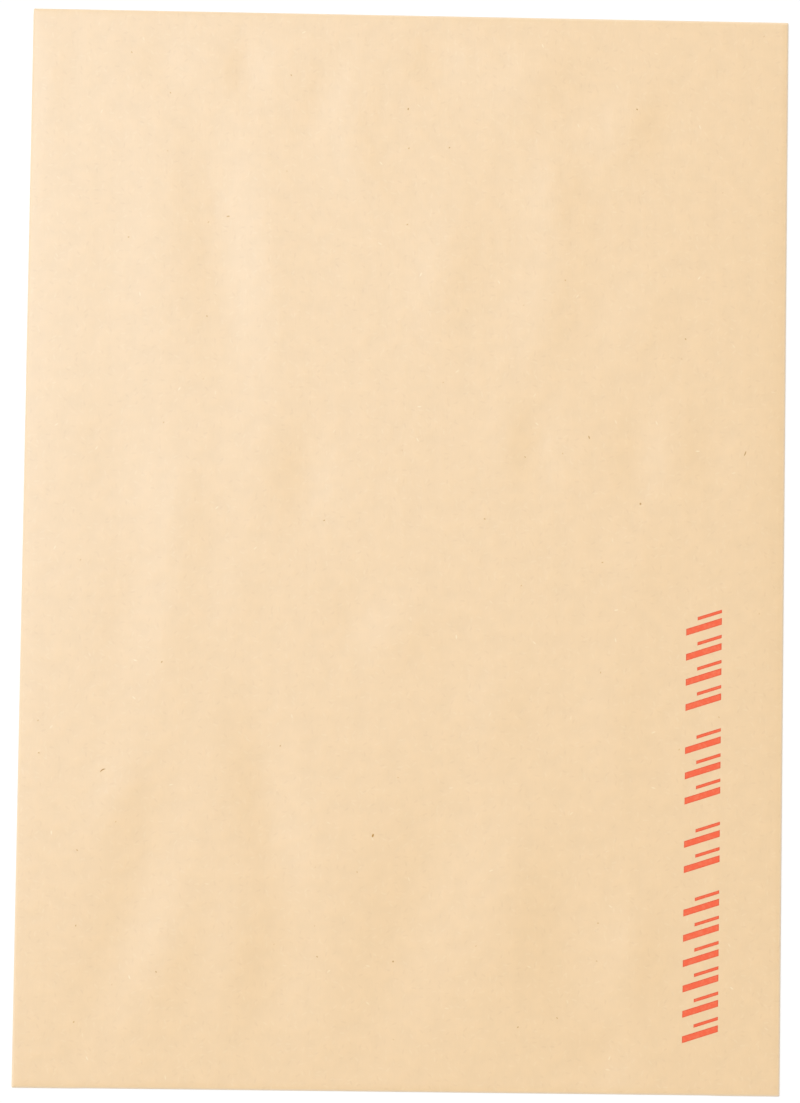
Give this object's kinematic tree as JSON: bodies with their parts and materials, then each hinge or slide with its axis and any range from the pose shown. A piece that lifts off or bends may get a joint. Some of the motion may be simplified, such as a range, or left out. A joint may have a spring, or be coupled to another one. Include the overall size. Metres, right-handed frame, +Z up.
{
  "type": "board-backed envelope",
  "caption": "Flat mailing envelope with a manila paper front folded round a stiff backing board and a peel-and-seal flap closed over the back.",
  "frame": {"origin": "middle of the outline, on the surface that the closed envelope lies on, flap down", "axes": "+Z up out of the paper front, +Y to the fold of the flap, +X to the right when the front is read with the flap fold at the top"},
  "size_m": [0.229, 0.324, 0.0032],
  "materials": {
    "paper": "uncoated manila paper, matt with a faint machine sheen",
    "board": "unbleached grey-brown board, matt",
    "seam_gum": "dried gum",
    "seal_gum": "tacky clear gum",
    "liner": "silicone-coated liner, smooth and slightly glossy"
  },
  "bodies": {
    "root": {"paper_wrapper": "paper", "backing_board": "board", "left_seam_gum": "seam_gum", "right_seam_gum": "seam_gum", "bottom_seam_gum": "seam_gum", "seal_gum": "seal_gum", "release_liner": "liner"}
  },
  "joints": []
}
